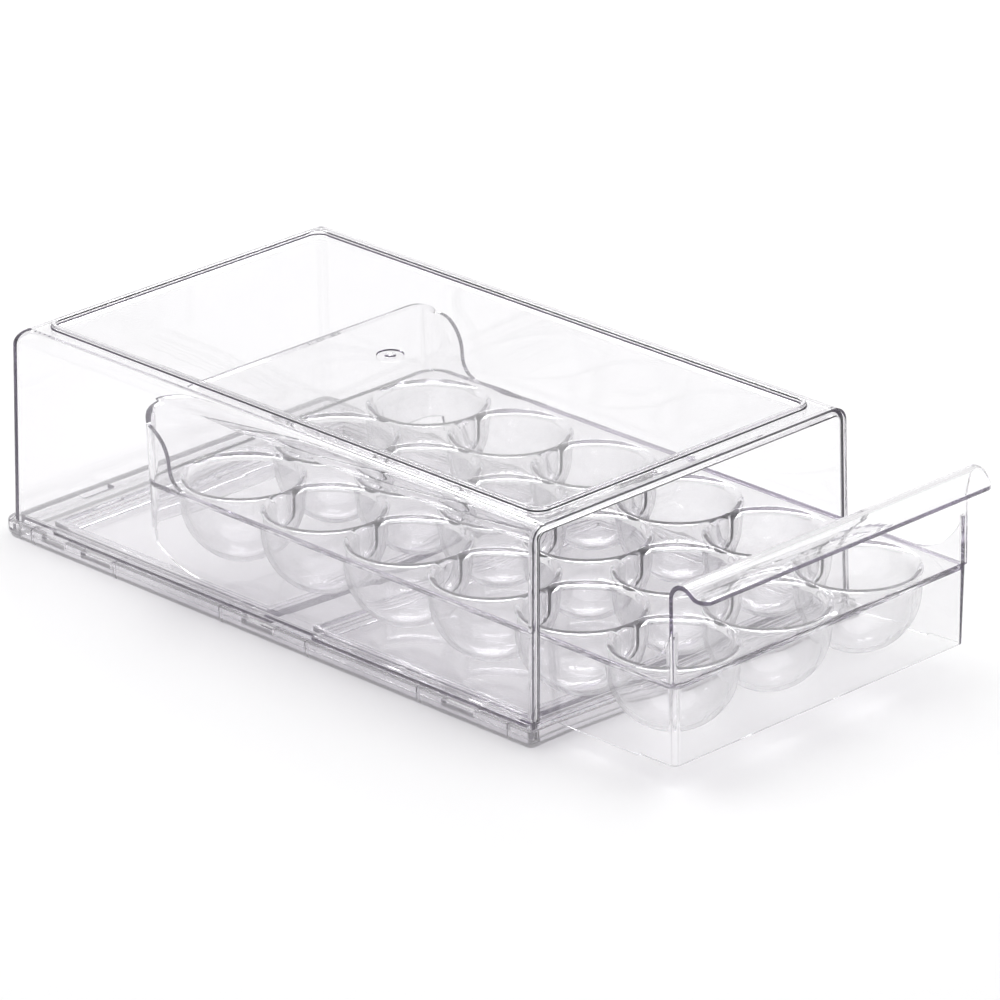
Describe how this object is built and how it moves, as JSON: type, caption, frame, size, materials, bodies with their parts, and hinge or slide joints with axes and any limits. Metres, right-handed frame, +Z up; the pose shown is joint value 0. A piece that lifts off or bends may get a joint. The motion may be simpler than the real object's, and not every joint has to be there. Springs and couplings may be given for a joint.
{
  "type": "stackable egg storage drawer",
  "caption": "Clear plastic egg keeper: a stackable case clipped onto a base tray, with an egg-cup drawer that slides out of the front by a curled handle",
  "frame": {"origin": "on the floor, at the middle of the whole object's plan box with the drawer partly open as stored", "axes": "+Z up, -Y the way the drawer opens, +X to the right seen from the front"},
  "size_m": [0.186, 0.3988, 0.0937],
  "materials": {
    "case_plastic": "polished clear polystyrene",
    "base_plastic": "polished clear polystyrene",
    "drawer_plastic": "polished clear polystyrene, cups slightly milky"
  },
  "bodies": {
    "housing": {"case_shell": "case_plastic", "base_tray": "base_plastic"},
    "drawer": {"drawer_skirt": "drawer_plastic", "drawer_front": "drawer_plastic", "drawer_back": "drawer_plastic", "cup_row_1": "drawer_plastic", "cup_row_2": "drawer_plastic", "cup_row_3": "drawer_plastic", "cup_row_4": "drawer_plastic", "cup_row_5": "drawer_plastic", "cup_row_6": "drawer_plastic"}
  },
  "joints": [
    {"name": "drawer_slide", "type": "slide", "parent": "housing", "child": "drawer", "axis": [0, -1, 0], "range_m": [-0.0705, 0.16]}
  ]
}
